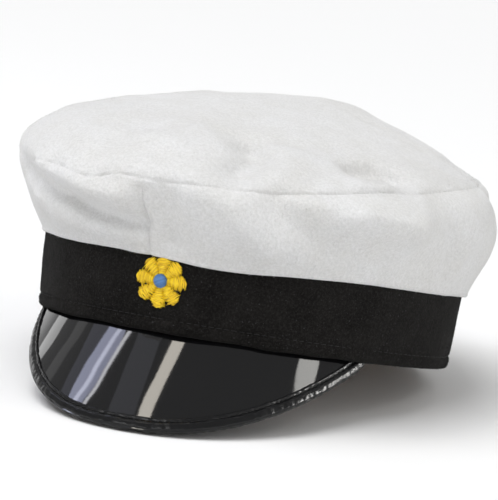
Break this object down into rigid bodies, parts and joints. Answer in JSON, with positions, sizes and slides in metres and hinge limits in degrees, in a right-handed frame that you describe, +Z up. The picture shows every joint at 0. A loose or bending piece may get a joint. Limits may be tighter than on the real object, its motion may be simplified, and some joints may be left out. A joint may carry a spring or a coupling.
{
  "type": "peaked cap",
  "caption": "Soft peaked cap with a puffed white crown, black velvet band, glossy curved visor and a flower cockade that pulls out of the band; worn on the head.",
  "frame": {"origin": "middle of the bounding box's base, on the table the cap lies on, tipped back on its visor's edge and the back of its band", "axes": "+Z up, -Y towards the visor, +X towards the wearer's left"},
  "size_m": [0.206, 0.2662, 0.1246],
  "materials": {
    "crown_velvet": "short-pile white velvet",
    "wadding": "thin felted wadding",
    "satin": "white satin lining",
    "film": "clear flexible film",
    "band_velvet": "short-pile black velvet",
    "stiffener": "flexible buckram and plastic strip",
    "black_thread": "black sewing thread",
    "sweat_leather": "thin tan leather",
    "reed": "cotton tape",
    "label": "blank woven label",
    "ribbon": "black satin ribbon",
    "lacquer": "deep gloss black",
    "board": "pressed fibre board",
    "visor_cloth": "grained black leatherette",
    "binding": "semi-gloss black leather",
    "felt": "black felt",
    "yellow_thread": "yellow satin-stitch thread",
    "blue_thread": "blue wound thread",
    "brass": "bright brass"
  },
  "bodies": {
    "cap": {"crown_top": "crown_velvet", "crown_side_left": "crown_velvet", "crown_side_right": "crown_velvet", "wadding_top": "wadding", "wadding_side": "wadding", "lining_top": "satin", "lining_side": "satin", "sweat_shield": "film", "band_velvet": "band_velvet", "band_stiffener": "stiffener", "hem_stitches": "black_thread", "sweatband": "sweat_leather", "sweatband_reed": "reed", "sweatband_stitches": "black_thread", "size_label": "label", "bow_loops": "ribbon", "bow_knot": "ribbon", "bow_tails": "ribbon", "visor_lacquer": "lacquer", "visor_board": "board", "visor_lining": "visor_cloth", "visor_tape": "reed", "visor_binding": "binding", "visor_stitches": "black_thread", "cockade_clutch": "brass"},
    "cockade": {"cockade_backing": "felt", "cockade_petals": "yellow_thread", "cockade_button": "blue_thread", "cockade_pin": "brass"}
  },
  "joints": [
    {"name": "cockade_pull", "type": "slide", "parent": "cap", "child": "cockade", "axis": [0, -0.9957, 0.093], "range_m": [0, 0.01]}
  ]
}
